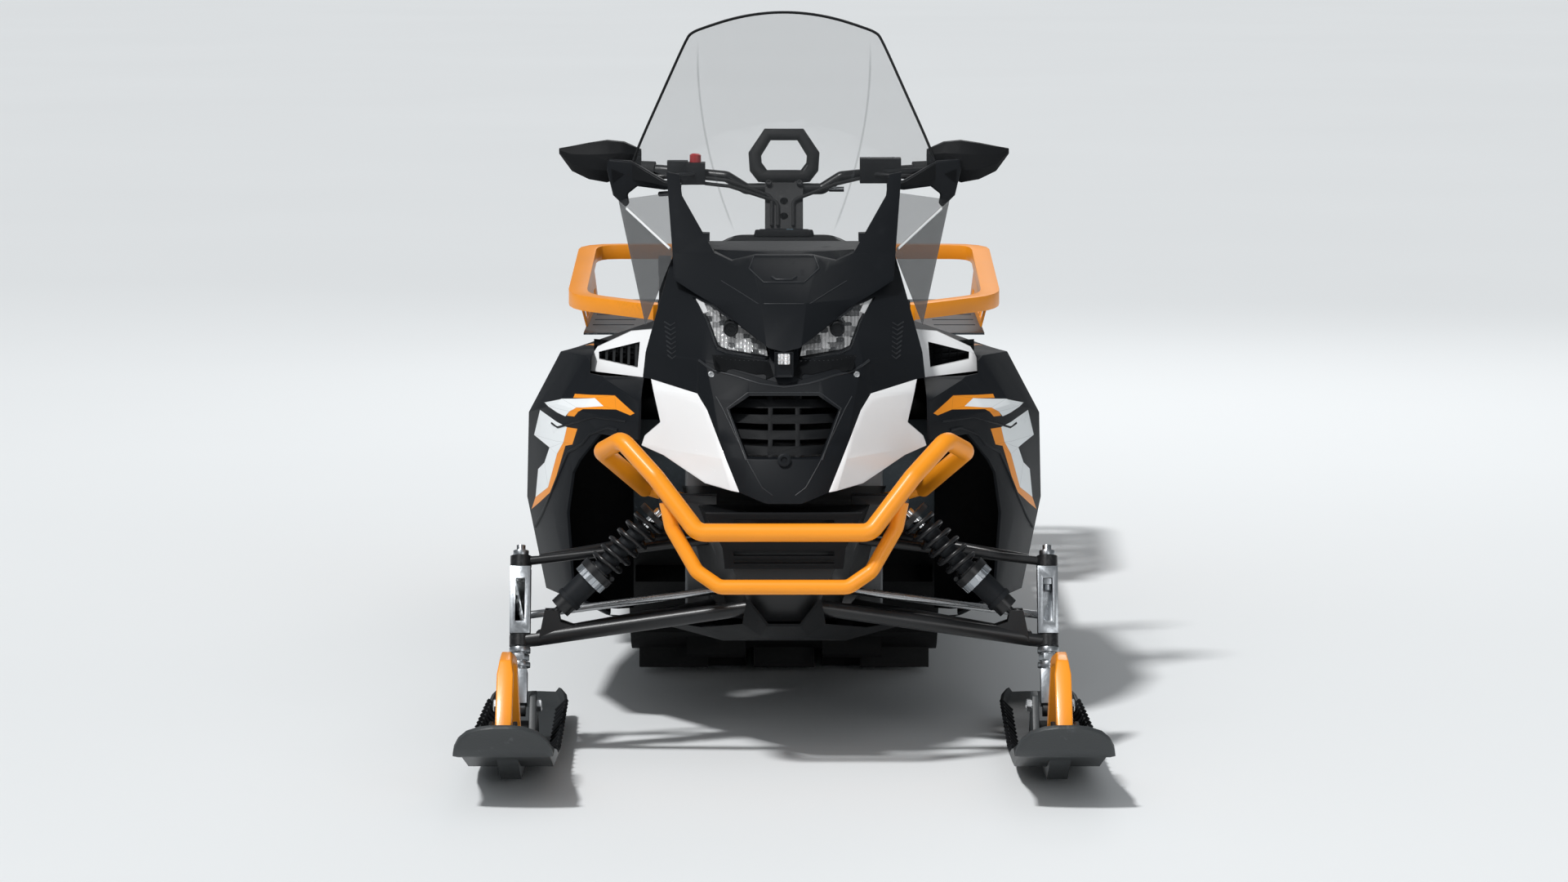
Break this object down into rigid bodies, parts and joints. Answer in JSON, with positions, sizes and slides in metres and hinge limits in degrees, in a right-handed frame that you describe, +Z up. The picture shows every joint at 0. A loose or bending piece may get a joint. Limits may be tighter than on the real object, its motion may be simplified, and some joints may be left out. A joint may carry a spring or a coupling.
{
  "type": "snowmobile",
  "caption": "Two-seat wide-track utility snowmobile with steered skis, tall clear windshield, tubular front bumper, lugged track and rear cargo rack with a hoop.",
  "frame": {"origin": "floor level under the middle of the machine's length, in its plane of symmetry", "axes": "+X to the driver's left, +Y to the rear, +Z up; the skis point to -Y"},
  "size_m": [1.12, 3.22, 1.306],
  "materials": {
    "aluminium_sheet": "satin",
    "black_plastic": "satin",
    "black_steel": "satin",
    "cast_aluminium": "satin",
    "clear_screen": "gloss",
    "engine_metal": "rough",
    "lamp_lens": "gloss",
    "orange_steel": "satin",
    "red_lens": "gloss",
    "rubber": "matte",
    "seat_vinyl": "satin",
    "ski_plastic": "matte",
    "soft_black": "matte",
    "steel": "satin",
    "white_plastic": "gloss"
  },
  "bodies": {
    "chassis": {"track": "rubber", "drive_axle": "steel", "slide_rails": "aluminium_sheet", "idler_wheels": "soft_black", "rear_suspension_arms": "black_steel", "tunnel": "aluminium_sheet", "running_boards": "aluminium_sheet", "snow_flap": "rubber", "hitch": "black_steel", "tail_lamp": "red_lens", "rack_plate": "aluminium_sheet", "rack_hoop": "orange_steel", "driver_seat": "seat_vinyl", "passenger_seat": "seat_vinyl", "engine": "engine_metal", "front_frame": "black_steel", "belly_pan": "soft_black", "front_fascia": "black_plastic", "grille": "soft_black", "cheek_panels": "white_plastic", "headlights": "lamp_lens", "hood": "black_plastic", "windshield_base": "black_plastic", "windshield": "clear_screen", "side_wings": "clear_screen", "mirrors": "soft_black", "side_panel_left": "black_plastic", "side_panel_right": "black_plastic", "console": "soft_black", "bumper": "orange_steel", "intake_grille": "soft_black", "lower_arms": "black_steel", "upper_arms": "black_steel", "front_dampers": "black_steel", "front_springs": "black_steel", "starter_grip": "rubber", "steering_bearing": "black_steel", "vent_frames": "white_plastic", "gauge": "black_plastic"},
    "handlebar_set": {"handlebar": "black_steel", "steering_column": "black_steel", "grips": "rubber", "bar_controls": "soft_black", "control_cables": "rubber"},
    "spindle_left": {"spindle_left": "cast_aluminium"},
    "spindle_right": {"spindle_right": "cast_aluminium"},
    "tie_rod_left": {"tie_rod_left": "steel"},
    "tie_rod_right": {"tie_rod_right": "steel"},
    "ski_left": {"ski_left": "ski_plastic", "ski_loop_left": "orange_steel"},
    "ski_right": {"ski_right": "ski_plastic", "ski_loop_right": "orange_steel"}
  },
  "joints": [
    {"name": "steering", "type": "hinge", "parent": "chassis", "child": "handlebar_set", "pos_m": [0, -0.11, 0.954], "axis": [0, 0.5736, 0.8192], "range_deg": [-32, 32]},
    {"name": "kingpin_left", "type": "hinge", "parent": "chassis", "child": "spindle_left", "pos_m": [-0.471, -1.06, 0.213], "axis": [0, 0.342, 0.9397], "range_deg": [-27.5, 27.5]},
    {"name": "tie_rod_end_left", "type": "hinge", "parent": "spindle_left", "child": "tie_rod_left", "pos_m": [-0.471, -0.95149, 0.22459], "axis": [0, 0.342, 0.9397], "range_deg": [-27.5, 27.5]},
    {"name": "ski_bolt_left", "type": "hinge", "parent": "spindle_left", "child": "ski_left", "pos_m": [-0.475, -1.075, 0.099], "axis": [1, 0, 0], "range_deg": [-14, 14], "stiffness_Nm_per_rad": 40},
    {"name": "kingpin_right", "type": "hinge", "parent": "chassis", "child": "spindle_right", "pos_m": [0.471, -1.06, 0.213], "axis": [0, 0.342, 0.9397], "range_deg": [-27.5, 27.5]},
    {"name": "tie_rod_end_right", "type": "hinge", "parent": "spindle_right", "child": "tie_rod_right", "pos_m": [0.471, -0.95149, 0.22459], "axis": [0, 0.342, 0.9397], "range_deg": [-27.5, 27.5]},
    {"name": "ski_bolt_right", "type": "hinge", "parent": "spindle_right", "child": "ski_right", "pos_m": [0.475, -1.075, 0.099], "axis": [1, 0, 0], "range_deg": [-14, 14], "stiffness_Nm_per_rad": 40}
  ],
  "couplings": [
    {"joint": "kingpin_left", "follows": "steering", "ratio": 0.85},
    {"joint": "tie_rod_end_left", "follows": "steering", "ratio": -0.85},
    {"joint": "kingpin_right", "follows": "steering", "ratio": 0.85},
    {"joint": "tie_rod_end_right", "follows": "steering", "ratio": -0.85}
  ]
}
